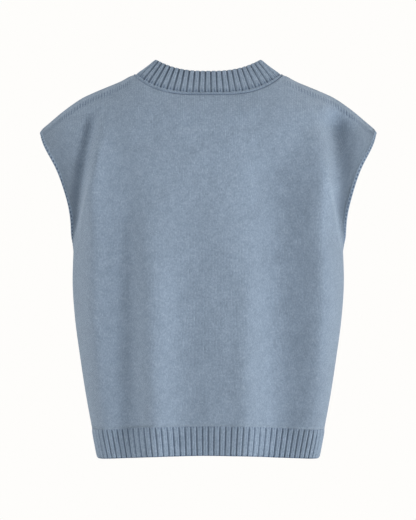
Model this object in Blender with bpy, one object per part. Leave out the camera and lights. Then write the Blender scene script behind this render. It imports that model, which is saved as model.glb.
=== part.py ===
"""Knitted sweater vest, filled out as it is worn, hollow and open at the neck, armholes and hem.

The wearer faces -Y, +X is the wearer's left and +Z is up. The origin lies midway between the two high
points of the shoulders, where the wearer's neck meets them. Every piece is a wall of knitted cloth: a
loft through sections, each one a closed loop that runs over the outer side and back over the inner side.

Sizes are in millimetres, and a mesh is scaled to metres as it is made.
"""

import math

import bmesh
import bpy
from mathutils import Vector

MM = 0.001
COLLECTION = "sweater_vest"

# Walls and seams
PANEL_WALL = 2.4
SEAM_GAP = 0.3
BAND_WALL = 3.6
BAND_PROUD = 0.8
EDGE_WIDTH = 3.4
EDGE_WALL = 3.4

# Heights on the body, measured from the high points of the shoulders
HEM_BOTTOM = -571
HEM_TOP = -527
HEM_ARCH = 9
UNDERARM = -248
CAP_TIP = -80

# Outline and turn-over
CAP_HALF_WIDTH = 251.5
SIDE_ROUNDNESS = 2.5
CHEST_CURVE = 2.6
TURN_REACH = 80
TURN_POWER = 2.2
UNDERARM_REACH = 50
WING_BLEND_TOP = -190
EDGE_BLEND = 3.5
WING_CURVE = 2

# Neck: the seam where the band is linked on, and the band's top rim
NECK_HALF_WIDTH = 112
NECK_SIDE_HEIGHT = 1.8
RIM_HALF_WIDTH = 78
RIM_SIDE_HEIGHT = 25

# Ribs, two knit and two purl wales each
HEM_RIBS_PER_PANEL = 50
NECK_RIBS = 60
RIB_HEIGHT = 1.3
RIB_CREST = (0.26, 0.74)
RIB_WALL = 2.4

# Levels of the hem rib: share of the way down, how high the ribs stand, how far the edge is rounded in
HEM_RIB_LEVELS = (
    (0.0, 0.55, 0.0),
    (0.06, 1.0, 0.0),
    (0.94, 1.0, 0.0),
    (1.0, 0.2, 0.4),
)

# Section of the neckband, from its foot up the outer side, over the rim and down the inner side: share of
# the way up, distance out, and how high the ribs stand there
NECKBAND_LEVELS = (
    (0.0, BAND_PROUD, 0.0),
    (0.075, BAND_PROUD, 0.0),
    (0.11, 0.0, 0.6),
    (0.95, 0.0, 1.0),
    (1.0, -0.8, 0.5),
    (1.01, -0.5 * BAND_WALL, 0.2),
    (0.98, -BAND_WALL, 0.0),
    (0.0, BAND_PROUD - BAND_WALL, 0.0),
)

# Section of the armhole's edge: across and up from its middle, flat towards the panel
EDGE_SECTION = (
    (-EDGE_WIDTH / 2, -EDGE_WALL / 2),
    (0.2 * EDGE_WIDTH, -EDGE_WALL / 2),
    (EDGE_WIDTH / 2, -0.2 * EDGE_WALL),
    (EDGE_WIDTH / 2, 0.2 * EDGE_WALL),
    (0.2 * EDGE_WIDTH, EDGE_WALL / 2),
    (-EDGE_WIDTH / 2, EDGE_WALL / 2),
)

# Places on the grid of a panel, round the neckband's rim, and between two points for a slope
RIM_POINTS = 12
SLOPE_STEP = 0.004
NECK_COLUMNS = 8
SIDE_COLUMNS = 12
LOW_ROWS = 9
HIGH_ROWS = 14


class Table:
    """A short table of sizes, read on a smooth curve through its rows."""

    def __init__(self, columns, *rows):
        self.columns = columns.split()
        self.rows = sorted(rows)

    def at(self, column, place):
        index = self.columns.index(column)
        keys = [row[0] for row in self.rows]
        values = [row[index] for row in self.rows]
        if place <= keys[0]:
            return values[0]
        if place >= keys[-1]:
            return values[-1]
        left = max(i for i, key in enumerate(keys[:-1]) if key <= place)
        span = keys[left + 1] - keys[left]
        t = (place - keys[left]) / span
        start = slope(keys, values, left) * span
        end = slope(keys, values, left + 1) * span
        return (
            (2 * t**3 - 3 * t**2 + 1) * values[left]
            + (t**3 - 2 * t**2 + t) * start
            + (3 * t**2 - 2 * t**3) * values[left + 1]
            + (t**3 - t**2) * end
        )


def slope(keys, values, i):
    """Slope of the curve at one row of a table, from the rows on both sides of it."""
    low = max(i - 1, 0)
    high = min(i + 1, len(keys) - 1)
    return (values[high] - values[low]) / (keys[high] - keys[low])


# The side of the body below the underarm, and the armhole's edge above it
SIDE_LINE = Table(
    "height half_width",
    (-571, 165.5),
    (-527, 174.0),
    (-473, 183.8),
    (-419, 192.0),
    (-365, 199.2),
    (-311, 203.0),
    (-248, 201.4),
    (-212, 201.6),
    (-176, 209.5),
    (-140, 222.0),
    (-104, 241.5),
    (-80, 251.5),
)

# The top of the shoulder, from the middle of the neck opening out to the tip of the cap
SHOULDER_LINE = Table(
    "across height",
    (0.0, 12.0),
    (60.0, 12.0),
    (90.0, 9.0),
    (112.0, 1.8),
    (130.0, -8.0),
    (150.0, -16.5),
    (172.0, -25.7),
    (190.0, -34.3),
    (216.0, -52.5),
    (238.5, -71.5),
    (247.5, -79.2),
    (251.5, -84.5),
)

# How far the middle of each panel lies from the plane of the side seams
BODY_DEPTH = Table(
    "height back front",
    (-571, 76, 80),
    (-527, 81, 87),
    (-450, 90, 101),
    (-370, 98, 112),
    (-290, 104, 120),
    (-220, 106, 121),
    (-160, 104, 113),
    (-110, 97, 98),
    (-70, 86, 81),
    (-40, 73, 70),
    (-10, 60, 60),
    (10, 54, 54),
)

# Where the cloth leaves the body beside each armhole, and how far out it ends at the armhole's edge. The
# right armhole flares at the back
WING = Table(
    "height left_ridge right_ridge back_ridge front_ridge back_left back_right front_left front_right",
    (-248, 199.5, 199.0, 36, 38, 30, 34, 30, 30),
    (-235, 195.0, 194.0, 47, 46, 34, 44, 34, 34),
    (-212, 189.0, 187.0, 61, 56, 41, 58, 37, 38),
    (-176, 183.0, 182.0, 72, 62, 50, 68, 37, 41),
    (-140, 178.0, 177.0, 77, 60, 52, 68, 35, 39),
    (-110, 173.0, 173.0, 73, 56, 49, 58, 31, 34),
    (-80, 170.0, 171.0, 65, 51, 41, 43, 28, 31),
    (-32, 178.0, 176.0, 53, 42, 27, 30, 26, 26),
)

# Folds of the cloth: each runs from its top to its foot, rises out of the panel by its height (or sinks,
# below zero), is so wide, and grows from its top over a share of its length. The solids have this share
# of the height, so their wide facets stay flat
FOLD_SHARE = 0.3
FOLD_FADE = 1 / 6
FOLD_SIDE_CALM = 10
FOLD_COLUMNS = "panel top_across top foot_across foot width height growth"
FOLDS = (
    ("back", 177, -35, 166, -640, 25, 26, 0.16),
    ("back", 118, -110, 117, -640, 19, -10, 0.3),
    ("back", 84, -150, 76, -640, 26, 18, 0.45),
    ("back", 22, -110, 28, -640, 44, -12, 0.35),
    ("back", -64, -180, -55, -640, 21, 13, 0.5),
    ("back", -100, -70, -105, -640, 43, -28, 0.2),
    ("back", -174, -50, -183, -640, 29, 26, 0.2),
    ("front", 170, -90, 167, -640, 26, 20, 0.35),
    ("front", 104, -150, 112, -640, 36, -18, 0.4),
    ("front", 52, -200, 46, -640, 26, 10, 0.5),
    ("front", -8, -190, -2, -640, 36, -10, 0.4),
    ("front", -70, -150, -76, -640, 28, 14, 0.5),
    ("front", -168, -80, -172, -640, 27, 22, 0.35),
    # Where the cloth sinks between the ridge and the edge of each armhole
    ("back", 181, -45, 197, -262, 11, -21, 0.17),
    ("back", -186, -45, -202, -268, 20, -29, 0.15),
    ("front", 220, -62, 203, -262, 11, -8, 0.17),
    ("front", -202, -58, -196, -255, 10, -10, 0.17),
)

# Neck opening: where its seam and its rim lie at the middle of each panel, and how sharply they drop there
NECK = {
    "back": {"seam_height": -31, "seam_drop": 3.4, "rim_depth": 30, "rim_height": 6, "rim_drop": 2.6},
    "front": {"seam_height": -75, "seam_drop": 2.8, "rim_depth": 62, "rim_height": -42, "rim_drop": 2.2},
}

# Looks
CREASE_ANGLE = math.radians(40)
YARN_ROUGHNESS = 0.9
YARN = (0.235, 0.290, 0.360, 1.0)
RIB_YARN = (0.215, 0.268, 0.335, 1.0)
EDGE_YARN = (0.200, 0.250, 0.315, 1.0)


def facing(panel):
    """Direction of a panel along Y."""
    return 1 if panel == "back" else -1


def turn(distance, reach):
    """Rise from 0 at an edge to 1 at its reach, round like a quarter of an oval."""
    t = min(max(distance / reach, 0), 1)
    return math.sqrt(1 - (1 - t) ** TURN_POWER)


def ease(t):
    """Smooth step from 0 to 1."""
    t = min(max(t, 0), 1)
    return t * t * (3 - 2 * t)


def half_width(z):
    return SIDE_LINE.at("half_width", min(z, CAP_TIP))


def neck_seam_height(panel, across):
    """Height of the neck seam at a distance across from the middle."""
    share = min(abs(across) / NECK_HALF_WIDTH, 1)
    middle = NECK[panel]["seam_height"]
    return middle + (NECK_SIDE_HEIGHT - middle) * share ** NECK[panel]["seam_drop"]


def neck_rim(panel, angle):
    """Point of the neckband's top rim, by its angle from the middle of the panel."""
    neck = NECK[panel]
    rise = (RIM_SIDE_HEIGHT - neck["rim_height"]) * abs(math.sin(angle)) ** neck["rim_drop"]
    depth = neck["rim_depth"] * math.cos(angle)
    return Vector((RIM_HALF_WIDTH * math.sin(angle), facing(panel) * depth, neck["rim_height"] + rise))


def top_height(panel, share):
    """Height where a column of a panel ends, at the neck seam or at the shoulder."""
    across = abs(share) * CAP_HALF_WIDTH
    if across < NECK_HALF_WIDTH:
        return neck_seam_height(panel, across)
    return SHOULDER_LINE.at("height", across)


def edge_depth(panel, across, z):
    """Distance of the armhole's edge from the plane of the side seams, on the side that is asked for."""
    side = "_left" if across > 0 else "_right"
    return WING.at(panel + side, z) * turn(z - UNDERARM, UNDERARM_REACH)


def wrap_depth(panel, across, z):
    """Depth where the panel wraps round the side of the body, as on a rounded box."""
    share = min(abs(across) / half_width(z), 1)
    wrap = BODY_DEPTH.at(panel, z) * (1 - share**SIDE_ROUNDNESS) ** (1 / SIDE_ROUNDNESS)
    return (wrap**EDGE_BLEND + edge_depth(panel, across, z) ** EDGE_BLEND) ** (1 / EDGE_BLEND)


def wing_depth(panel, across, z):
    """Depth of the panel over the back or chest, and of its wing beyond the ridge at the armhole."""
    ridge_across = WING.at("left_ridge" if across > 0 else "right_ridge", z)
    ridge = WING.at(panel + "_ridge", z)
    if abs(across) <= ridge_across:
        middle = BODY_DEPTH.at(panel, z)
        return middle - (middle - ridge) * (abs(across) / ridge_across) ** CHEST_CURVE
    edge = edge_depth(panel, across, z)
    left = (half_width(z) - abs(across)) / (half_width(z) - ridge_across)
    return edge + (ridge - edge) * max(left, 0) ** WING_CURVE


def fold_height(panel, across, z):
    """How far the folds lift the solid here."""
    lift = 0
    for fold in FOLDS:
        row = dict(zip(FOLD_COLUMNS.split(), fold))
        if row["panel"] != panel:
            continue
        along = (row["top"] - z) / (row["top"] - row["foot"])
        middle = row["top_across"] + (row["foot_across"] - row["top_across"]) * along
        fade = ease(along / row["growth"]) * ease((1 - along) / FOLD_FADE)
        lift += FOLD_SHARE * row["height"] * fade * math.exp(-(((across - middle) / row["width"]) ** 2))
    return lift * (1 - min(abs(across) / half_width(z), 1) ** FOLD_SIDE_CALM)


def panel_point(panel, share, z, folded=True):
    """Point on the outer face of a panel, by its share of the half width and its height."""
    across = share * half_width(z)
    wrap = ease((WING_BLEND_TOP - z) / (WING_BLEND_TOP - UNDERARM))
    depth = fold_height(panel, across, z) if folded else 0
    if wrap > 0:
        depth += wrap * wrap_depth(panel, across, z)
    if wrap < 1:
        depth += (1 - wrap) * wing_depth(panel, across, z)
    depth *= turn(SHOULDER_LINE.at("height", abs(across)) - z, TURN_REACH)
    return Vector((across, facing(panel) * max(depth, SEAM_GAP / 2), z))


def column_shares():
    """Shares of the half width at which the columns of a panel stand, from its right to its left."""
    neck_share = NECK_HALF_WIDTH / CAP_HALF_WIDTH
    shares = [neck_share * math.sin(math.pi / 2 * i / NECK_COLUMNS) for i in range(NECK_COLUMNS + 1)]
    first = math.asin(neck_share ** (SIDE_ROUNDNESS / 2))
    for i in range(1, SIDE_COLUMNS + 1):
        angle = first + (math.pi / 2 - first) * i / SIDE_COLUMNS
        shares.append(math.sin(angle) ** (2 / SIDE_ROUNDNESS))
    return [-share for share in reversed(shares[1:])] + shares


def hem_line(share):
    """Height of the seam line between a panel and its hem rib, a little higher in the middle."""
    return HEM_TOP + HEM_ARCH * (1 - share * share)


def row_heights(panel, share):
    """Heights of the points of one column, from the hem rib up to the neck or the shoulder."""
    low = hem_line(share) + SEAM_GAP / 2
    top = top_height(panel, share)
    heights = [low + (UNDERARM - low) * math.sin(math.pi / 2 * i / LOW_ROWS) for i in range(LOW_ROWS)]
    for i in range(HIGH_ROWS + 1):
        t = (1 - math.cos(math.pi * i / HIGH_ROWS)) / 2
        heights.append(UNDERARM + (top - UNDERARM) * t)
    return heights


def panel_grid(panel):
    """Outer points of a panel, column by column."""
    return [
        [panel_point(panel, share, z) for z in row_heights(panel, share)]
        for share in column_shares()
    ]


def grid_normals(panel, grid):
    """Direction out of the cloth at each point of a panel's grid, level with the seams that it meets."""
    last_column = len(grid) - 1
    last_row = len(grid[0]) - 1
    normals = []
    for i, column in enumerate(grid):
        line = []
        for j in range(len(column)):
            across = grid[min(i + 1, last_column)][j] - grid[max(i - 1, 0)][j]
            up = column[min(j + 1, last_row)] - column[max(j - 1, 0)]
            normal = up.cross(across) * facing(panel)
            at_side = i in (0, last_column) and j <= LOW_ROWS
            at_shoulder = j == last_row and abs(column[j].x) >= NECK_HALF_WIDTH - SEAM_GAP
            if at_side or at_shoulder:
                normal.y = 0
            if j == 0:
                normal.z = 0
            line.append(normal.normalized())
        normals.append(line)
    return normals


def make_material(name, colour):
    material = bpy.data.materials.new(name)
    material.use_nodes = True
    shader = material.node_tree.nodes["Principled BSDF"]
    shader.inputs["Base Color"].default_value = colour
    shader.inputs["Roughness"].default_value = YARN_ROUGHNESS
    shader.inputs["Metallic"].default_value = 0.0
    material.diffuse_color = colour
    return material


def loft(name, sections, closed, colour, twisted_rims=False):
    """Closed solid through sections of equal length. An open loft is closed at its two ends, where the
    first half of a section is its outer side and the second half comes back along its inner side. Rims
    that twist are split about their middles, so that two of them that face each other stay parallel."""
    mesh = bpy.data.meshes.new(name)
    bm = bmesh.new()
    rings = [[bm.verts.new(point * MM) for point in section] for section in sections]
    size = len(sections[0])
    half = size // 2
    rims = []
    pairs = list(zip(rings, rings[1:] + rings[:1]))
    for first, second in pairs if closed else pairs[:-1]:
        for i in range(size):
            k = (i + 1) % size
            face = bm.faces.new((first[i], first[k], second[k], second[i]))
            if i in (half - 1, size - 1):
                rims.append(face)
    if not closed:
        for ring in (rings[0], rings[-1]):
            for i in range(half - 1):
                rims.append(bm.faces.new((ring[i], ring[i + 1], ring[size - 2 - i], ring[size - 1 - i])))
    if twisted_rims:
        bmesh.ops.poke(bm, faces=rims)
    bmesh.ops.recalc_face_normals(bm, faces=bm.faces)
    bm.to_mesh(mesh)
    bm.free()
    mesh.shade_smooth()
    mesh.set_sharp_from_angle(angle=CREASE_ANGLE)
    part = bpy.data.objects.new(name, mesh)
    part.data.materials.append(make_material(name + "_yarn", colour))
    bpy.data.collections[COLLECTION].objects.link(part)
    return part


def make_panel(panel, grid, normals):
    """A front or back panel: the wall between its outer points and the same points moved in."""
    sections = []
    for column, line in zip(grid, normals):
        inner = [point - normal * PANEL_WALL for point, normal in zip(column, line)]
        sections.append(column + inner[::-1])
    return loft(panel + "_panel", sections, False, YARN, twisted_rims=True)


class Path:
    """A line of straight runs through points, read by its share of its length, or of its ruler's."""

    def __init__(self, points, closed=False, ruler=None):
        self.points = points + points[:1] if closed else points
        self.reach = [0.0]
        measured = ruler or self.points
        for first, second in zip(measured, measured[1:]):
            self.reach.append(self.reach[-1] + (second - first).length)

    def place(self, share):
        """Number of the run at a share of the length, and how far along that run it lies."""
        target = share % 1 * self.reach[-1] if share != 1 else self.reach[-1]
        run = max(i for i, reach in enumerate(self.reach[:-1]) if reach <= target)
        return run, (target - self.reach[run]) / (self.reach[run + 1] - self.reach[run])

    def at(self, share, values=None):
        """The point there, or the same mixture of values given one for each point."""
        run, part = self.place(share)
        values = values or self.points
        return values[run] + (values[(run + 1) % len(values)] - values[run]) * part


def rib_shares(ribs, first_groove):
    """Shares of a ribbed length at which its points lie, each with 1 on a crest and 0 in a groove."""
    places = []
    for rib in range(ribs):
        places.append(((rib + first_groove) / ribs, 0))
        for crest in RIB_CREST:
            places.append(((rib + first_groove + crest) / ribs, 1))
    return places


def hem_rib_line(panel, down):
    """Line round the hem rib of a panel, at a share of the way down from its seam to its bottom edge. It
    is measured without its folds, so the ribs run straight down over them."""
    points = []
    ruler = []
    for share in column_shares():
        arch = HEM_ARCH * (1 - share * share)
        top = hem_line(share) - SEAM_GAP / 2
        z = top + (HEM_BOTTOM + arch - top) * down
        points.append(panel_point(panel, share, z))
        ruler.append(panel_point(panel, share, z, folded=False))
    return Path(points, ruler=ruler)


def level_normal(panel, line, place):
    """Level direction out of the cloth on a line round the body, square to the side at the seams."""
    if place in (0, 1):
        return Vector((-1 if line.at(place).x < 0 else 1, 0, 0))
    along = line.at(min(place + SLOPE_STEP, 1)) - line.at(max(place - SLOPE_STEP, 0))
    return Vector((-along.y, along.x, 0)).normalized() * facing(panel)


def make_hem_rib(panel):
    """The ribbed hem below a panel: ribs raised on the outer side, and a plain inner side."""
    lines = [hem_rib_line(panel, down) for down, _, _ in HEM_RIB_LEVELS]
    sections = []
    for place, crest in rib_shares(HEM_RIBS_PER_PANEL, 0) + [(1, 0)]:
        outer = []
        inner = []
        for line, (_, rise, sink) in zip(lines, HEM_RIB_LEVELS):
            point = line.at(place)
            normal = level_normal(panel, line, place)
            outer.append(point + normal * (RIB_HEIGHT * crest * rise - sink))
            inner.append(point - normal * (RIB_WALL - sink))
        sections.append(outer + inner[::-1])
    return loft(panel + "_hem_rib", sections, False, RIB_YARN)


def neckline(grids, values):
    """Values at the points round the neck seam, from the middle of the back over the left shoulder to the
    front and back over the right shoulder. At a shoulder, front and back give their mean."""
    middle = len(grids["back"]) // 2
    left = middle + NECK_COLUMNS
    right = middle - NECK_COLUMNS
    back = [column[-1] for column in values["back"]]
    front = [column[-1] for column in values["front"]]
    return (
        back[middle:left]
        + [(back[left] + front[left]) / 2]
        + front[left - 1 : right : -1]
        + [(back[right] + front[right]) / 2]
        + back[right + 1 : middle]
    )


def armhole(values, side):
    """Values at the points round an armhole, from the underarm up the back and down the front."""
    column = -1 if side > 0 else 0
    back = values["back"][column]
    front = values["front"][column]
    return (
        [(back[LOW_ROWS] + front[LOW_ROWS]) / 2]
        + back[LOW_ROWS + 1 : -1]
        + [(back[-1] + front[-1]) / 2]
        + front[-2:LOW_ROWS:-1]
    )


def edge_directions(points, normals, sign):
    """Directions off the edge of the cloth along its surface, square to a closed edge and its normals."""
    directions = []
    for i, normal in enumerate(normals):
        along = points[(i + 1) % len(points)] - points[i - 1]
        directions.append(along.cross(normal).normalized() * sign)
    return directions


def make_neckband(grids, normals):
    """The ribbed neckband, linked on by a plain strip at its foot, leaning in to its rim."""
    seam = neckline(grids, grids)
    out = [normal.normalized() for normal in neckline(grids, normals)]
    off = edge_directions(seam, out, 1)
    foot = Path([point + way * SEAM_GAP for point, way in zip(seam, off)], closed=True)
    quarter = math.pi / 2
    angles = [quarter * i / RIM_POINTS for i in range(RIM_POINTS)]
    rim_points = [neck_rim("back", angle) for angle in angles]
    rim_points += [neck_rim("front", quarter - angle) for angle in angles]
    rim_points += [neck_rim("front", -angle) for angle in angles]
    rim_points += [neck_rim("back", angle - quarter) for angle in angles]
    rim = Path(rim_points, closed=True)
    sections = []
    for place, crest in rib_shares(NECK_RIBS, -0.5):
        low = foot.at(place)
        high = rim.at(place)
        around = rim.at(place + SLOPE_STEP) - rim.at(place - SLOPE_STEP)
        lean = around.cross(high - low).normalized() * -1
        seam_out = foot.at(place, out).normalized()
        section = []
        for up, proud, rise in NECKBAND_LEVELS:
            away = seam_out if up == 0 else lean
            section.append(low + (high - low) * up + away * (proud + RIB_HEIGHT * crest * rise))
        sections.append(section)
    return loft("neckband", sections, True, RIB_YARN)


def make_armhole_edge(name, side, grids, normals):
    """The narrow self edge round an armhole: a flat tube that follows the edges of both panels."""
    points = armhole(grids, side)
    out = [normal.normalized() for normal in armhole(normals, side)]
    off = edge_directions(points, out, -side)
    sections = []
    for point, normal, way in zip(points, out, off):
        middle = point - normal * (PANEL_WALL / 2) + way * (SEAM_GAP + EDGE_WIDTH / 2)
        sections.append([middle + way * across + normal * up for across, up in EDGE_SECTION])
    return loft(name, sections, True, EDGE_YARN, twisted_rims=True)


def clear_scene():
    for thing in list(bpy.data.objects):
        bpy.data.objects.remove(thing, do_unlink=True)
    bpy.context.scene.collection.children.link(bpy.data.collections.new(COLLECTION))


def main():
    clear_scene()
    grids = {panel: panel_grid(panel) for panel in ("back", "front")}
    normals = {panel: grid_normals(panel, grid) for panel, grid in grids.items()}
    for panel in grids:
        make_panel(panel, grids[panel], normals[panel])
        make_hem_rib(panel)
    make_neckband(grids, normals)
    make_armhole_edge("armhole_edge_left", 1, grids, normals)
    make_armhole_edge("armhole_edge_right", -1, grids, normals)


main()
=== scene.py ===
"""Looks of a knitted sweater vest that is filled out as it is worn, around its fixed frame of solids.

The wearer faces -Y and +X is the wearer's left. The origin lies midway between the high points of the
shoulders. Every piece of knit is a thin shell on its solid's form, with soft folds placed one by one. Sizes
of the cloth are in millimetres and a mesh is scaled to metres as it is made; the stage is in metres.
"""

import math
from functools import cache

import bpy
import numpy as np
from bpy.props import FloatProperty, FloatVectorProperty, PointerProperty
from bpy.types import Operator, Panel, PropertyGroup
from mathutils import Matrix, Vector


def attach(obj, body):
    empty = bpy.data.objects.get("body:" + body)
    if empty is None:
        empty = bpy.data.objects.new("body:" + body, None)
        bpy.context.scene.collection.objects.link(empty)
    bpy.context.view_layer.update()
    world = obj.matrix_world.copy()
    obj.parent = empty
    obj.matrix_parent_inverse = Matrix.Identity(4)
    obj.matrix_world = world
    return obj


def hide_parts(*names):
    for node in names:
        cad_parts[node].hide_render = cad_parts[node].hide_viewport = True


bl_info = {
    "name": "Knitted Sweater Vest",
    "version": (1, 0, 0),
    "blender": (4, 5, 0),
    "location": "View3D > Sidebar > Vest",
    "description": "Builds the knit, stitches, seams and stage of a sweater vest",
    "category": "Object",
}

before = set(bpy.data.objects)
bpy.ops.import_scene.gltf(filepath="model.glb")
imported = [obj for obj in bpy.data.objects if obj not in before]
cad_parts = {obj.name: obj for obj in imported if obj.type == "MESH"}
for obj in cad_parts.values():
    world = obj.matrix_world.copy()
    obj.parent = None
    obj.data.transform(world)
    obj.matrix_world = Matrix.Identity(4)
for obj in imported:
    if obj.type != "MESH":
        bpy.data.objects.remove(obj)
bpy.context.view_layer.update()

MM = 0.001

# The pieces of knit all but touch at their seams
SEAM_GAP = 0.04

PANELS = ("back", "front")

# Heights on the body, measured from the high points of the shoulders
HEM_BOTTOM = -571
HEM_TOP = -527
HEM_ARCH = 9
HEM_LIFT = 0.095
UNDERARM = -260
CAP_TIP = -80

# Outline and turn-over
CAP_HALF_WIDTH = 251.5
SIDE_ROUNDNESS = 2.5
CHEST_CURVE = 2.6
TURN_REACH = 80
TURN_POWER = 2.2
UNDERARM_REACH = 50
WING_BLEND_TOP = -190
EDGE_BLEND = 3.5
WING_CURVE = 5

# Neck: the seam where the band is linked on, and the band's top rim
NECK_HALF_WIDTH = 112
NECK_SIDE_HEIGHT = 1.8
RIM_HALF_WIDTH = 78
RIM_SIDE_HEIGHT = 25

# Ribs, two knit and two purl wales each. The neck's are set off by half a rib at the middle of the back
HEM_RIBS_PER_PANEL = 50
NECK_RIBS = 60
WALES_PER_RIB = 4
NECK_FIRST_GROOVE = -0.5

# How much closer the neck ribs' feet, and how much wider their rims, stand at the middle of back and front
FOOT_CROWDING = 0.17
RIM_SPREADING = 0.06

# How finely the cloth is cut up. The ribs' rows stand closer where their section turns
NECK_COLUMNS = 26
SIDE_COLUMNS = 56
LOW_ROWS = 70
HIGH_ROWS = 92
HEM_ROWS = np.concatenate([[0, 0.012, 0.03], np.linspace(0.055, 0.955, 21), [0.978, 1.0]])
BAND_ROWS = np.concatenate([np.linspace(0, 0.17, 14), np.linspace(0.2, 0.62, 20), np.linspace(0.66, 1.0, 12)])
RIM_POINTS = 40
EDGE_POINTS_ROUND = 20
EDGE_POINTS_PER_STITCH = 12
TANGENT_STEP = 0.004


class Table:
    """A short table of sizes, read on a smooth curve through its rows."""

    def __init__(self, columns, *rows):
        self.columns = columns.split()
        self.rows = np.array(sorted(rows), dtype=float)

    def at(self, column, places):
        """Values of a column at some places, level beyond the table's ends."""
        keys = self.rows[:, 0]
        values = self.rows[:, self.columns.index(column)]
        steps = np.diff(values) / np.diff(keys)
        middle = (values[2:] - values[:-2]) / (keys[2:] - keys[:-2])
        slopes = np.concatenate([steps[:1], middle, steps[-1:]])
        places = np.clip(places, keys[0], keys[-1])
        left = np.clip(np.searchsorted(keys, places, side="right") - 1, 0, len(keys) - 2)
        span = keys[left + 1] - keys[left]
        t = (places - keys[left]) / span
        return (
            (2 * t**3 - 3 * t**2 + 1) * values[left]
            + (t**3 - 2 * t**2 + t) * slopes[left] * span
            + (3 * t**2 - 2 * t**3) * values[left + 1]
            + (t**3 - t**2) * slopes[left + 1] * span
        )


# The side of the body below the underarm, and the armhole's edge above it
SIDE_LINE = Table(
    "height half_width",
    (-571, 165.5),
    (-527, 174),
    (-473, 183.8),
    (-419, 192),
    (-365, 199.2),
    (-311, 203),
    (-248, 201.4),
    (-212, 201.6),
    (-176, 209.5),
    (-140, 222),
    (-104, 241.5),
    (-80, 251.5),
)

# The top of the shoulder, from the middle of the neck opening out to the tip of the cap
SHOULDER_LINE = Table(
    "across height",
    (0, 12),
    (60, 12),
    (90, 9),
    (112, 1.8),
    (130, -8),
    (150, -16.5),
    (172, -25.7),
    (190, -34.3),
    (216, -52.5),
    (238.5, -71.5),
    (247.5, -79.2),
    (251.5, -84.5),
)

# How far the middle of each panel lies from the plane of the side seams
BODY_DEPTH = Table(
    "height back front",
    (-571, 76, 80),
    (-527, 81, 87),
    (-450, 90, 101),
    (-370, 98, 112),
    (-290, 104, 120),
    (-220, 106, 121),
    (-160, 104, 113),
    (-110, 97, 98),
    (-70, 86, 81),
    (-40, 73, 70),
    (-10, 60, 60),
    (10, 54, 54),
)

# Where the cloth leaves the body beside each armhole, and how far out it ends at the armhole's edge. The
# right armhole flares at the back
WING = Table(
    "height left_ridge right_ridge back_ridge front_ridge back_left back_right front_left front_right",
    (-248, 199.5, 199, 36, 38, 30, 34, 30, 30),
    (-235, 195, 194, 47, 46, 34, 44, 34, 34),
    (-212, 187, 187, 61, 56, 43, 58, 37, 38),
    (-176, 176, 182, 72, 62, 54, 68, 37, 41),
    (-140, 165, 176, 77, 60, 58, 68, 35, 39),
    (-110, 160, 172, 73, 56, 55, 58, 31, 34),
    (-80, 160, 170, 65, 51, 45, 43, 28, 31),
    (-32, 172, 176, 53, 42, 27, 30, 26, 26),
)

# Folds of the cloth: each runs from its top to its foot, rises out of the panel by its height (or sinks,
# below zero), is so wide, and grows from its top over a share of its length
FOLD_FADE = 1 / 6
FOLD_SIDE_CALM = 10
CREASE_SIDE_CALM = 40
CREASE_WIDTH = 5
FOLD_COLUMNS = "panel top_across top foot_across foot width height growth"
FOLDS = (
    ("back", 177, -35, 166, -640, 25, 26, 0.16),
    ("back", 118, -110, 117, -640, 19, -10, 0.3),
    ("back", 84, -150, 76, -640, 26, 18, 0.45),
    ("back", 22, -110, 28, -640, 44, -12, 0.35),
    ("back", -64, -180, -55, -640, 21, 13, 0.5),
    ("back", -100, -70, -105, -640, 43, -28, 0.2),
    ("back", -174, -50, -183, -640, 29, 26, 0.2),
    ("front", 170, -90, 167, -640, 26, 20, 0.35),
    ("front", 104, -150, 112, -640, 36, -18, 0.4),
    ("front", 52, -200, 46, -640, 26, 10, 0.5),
    ("front", -8, -190, -2, -640, 36, -10, 0.4),
    ("front", -70, -150, -76, -640, 28, 14, 0.5),
    ("front", -168, -80, -172, -640, 27, 22, 0.35),
    # Where the cloth sinks between the ridge and the edge of each armhole
    ("back", 166, -45, 203, -262, 11, -21, 0.17),
    ("back", -186, -45, -202, -268, 20, -29, 0.15),
    ("front", 220, -62, 203, -262, 11, -8, 0.17),
    ("front", -202, -58, -196, -255, 10, -10, 0.17),
    # Crisp creases that run down into the underarms
    ("back", 157, -60, 201, -284, 3.5, 2.2, 0.6),
    ("back", -156, -60, -202, -284, 3.5, 2, 0.6),
    ("front", 160, -60, 197, -262, 4.5, 1.8, 0.6),
    ("front", -160, -60, -197, -262, 4.5, 1.8, 0.6),
)

# The whole cloth is a little uneven: a few waves of each of these heights and lengths, at seeded angles
UNEVEN_SEED = 7
WAVES_OF_EACH = 3
UNEVEN_WAVES = ((0.5, 95), (0.4, 60), (0.25, 38), (0.16, 24))

# Neck opening: where its seam and its rim lie at the middle of each panel, and how sharply they drop there
NECK = {
    "back": {"seam_height": -31, "seam_drop": 3.4, "rim_depth": 30, "rim_height": 6, "rim_drop": 2.6},
    "front": {"seam_height": -75, "seam_drop": 2.8, "rim_depth": 62, "rim_height": -42, "rim_drop": 2.2},
}

# The seam allowance inside each shoulder lifts the cloth beside the seam; the puckers below the welt are
# painted shade.
# At the neck seam the cloth dips under the linking strip
WELT_HEIGHT = 0.9
WELT_WIDTH = 7.0
WELT_EDGE = 2.2
NECK_DIP = 1.5
NECK_DIP_WIDTH = 4.0

# Painted shade where the cloth is darker because light hardly reaches it, and painted highlights where it is
# paler because light catches it: share of its colour
GROOVE_DARK = 0.27
GROOVE_EDGE = 0.4
RIB_LINE_DARK = 0.08
DOT_DARK = 0.5
DOT_WIDTH = 0.09
NECK_SEAM_DARK = 0.85
PIT_DARK = 0.65
CHAIN_HIGHLIGHT = 0.16
SHOULDER_HIGHLIGHT = 0.09
CREASE_HIGHLIGHT = 0.22

# Painted shade turns bluer: how much of its darkness each of red, green and blue takes
HOLLOW_TINT = (1.12, 1, 0.84)
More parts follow.
